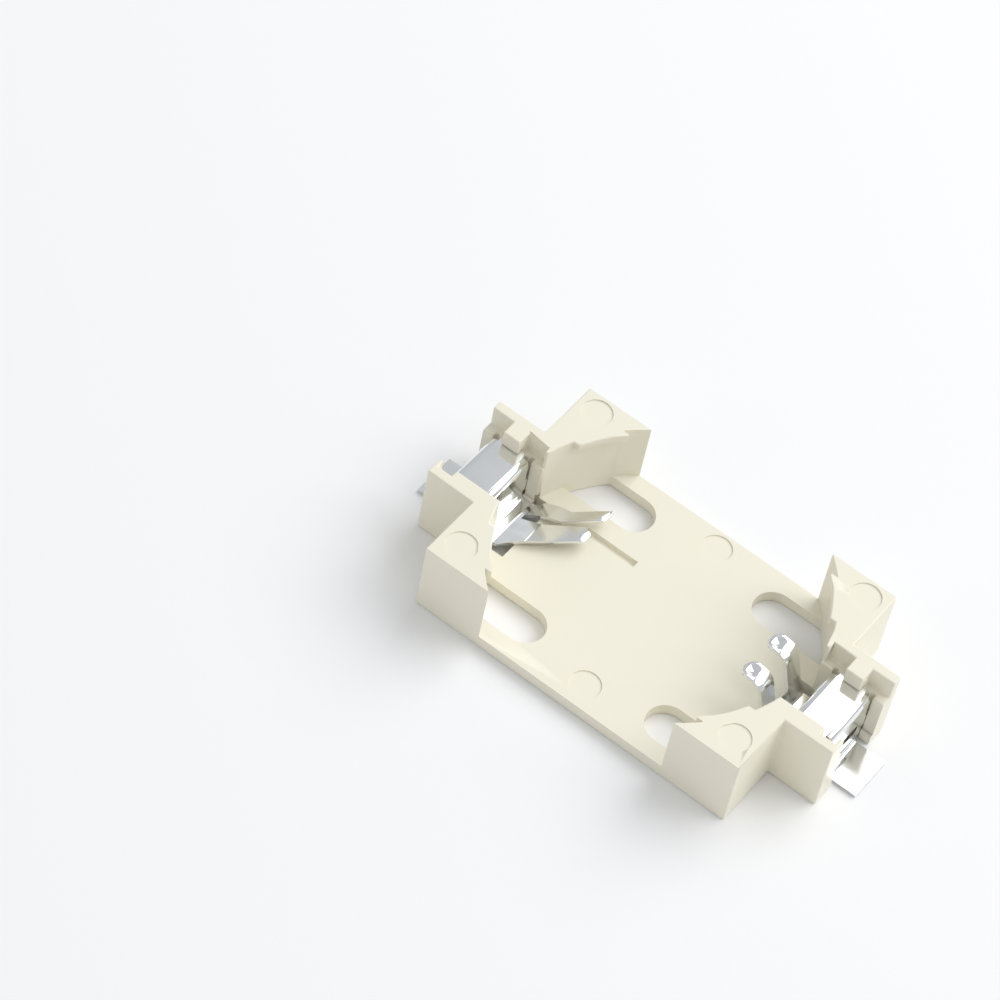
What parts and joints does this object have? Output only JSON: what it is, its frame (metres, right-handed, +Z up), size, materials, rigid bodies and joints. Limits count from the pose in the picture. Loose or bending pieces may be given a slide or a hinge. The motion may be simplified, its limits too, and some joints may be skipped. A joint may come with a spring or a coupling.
{
  "type": "coin cell holder",
  "caption": "Surface-mount holder for one 20 mm coin cell: a moulded open-sided housing with a leaf contact under the cell and two sprung fingers at its edge, each ending in a solder tab.",
  "frame": {"origin": "the middle of the underside, on the board's surface", "axes": "+X along the length, from the negative contact's end to the positive contact's end; +Y across, towards the side that carries the catches over the straps; +Z up, out of the cell pocket"},
  "size_m": [0.0322, 0.016, 0.0054],
  "materials": {
    "moulding": "warm off-white glass-filled nylon, semi-matt as moulded",
    "tinned_sheet": "bright tin over nickel on thin stamped spring sheet"
  },
  "bodies": {
    "root": {"housing": "moulding", "negative_contact": "tinned_sheet", "positive_contact": "tinned_sheet"}
  },
  "joints": []
}
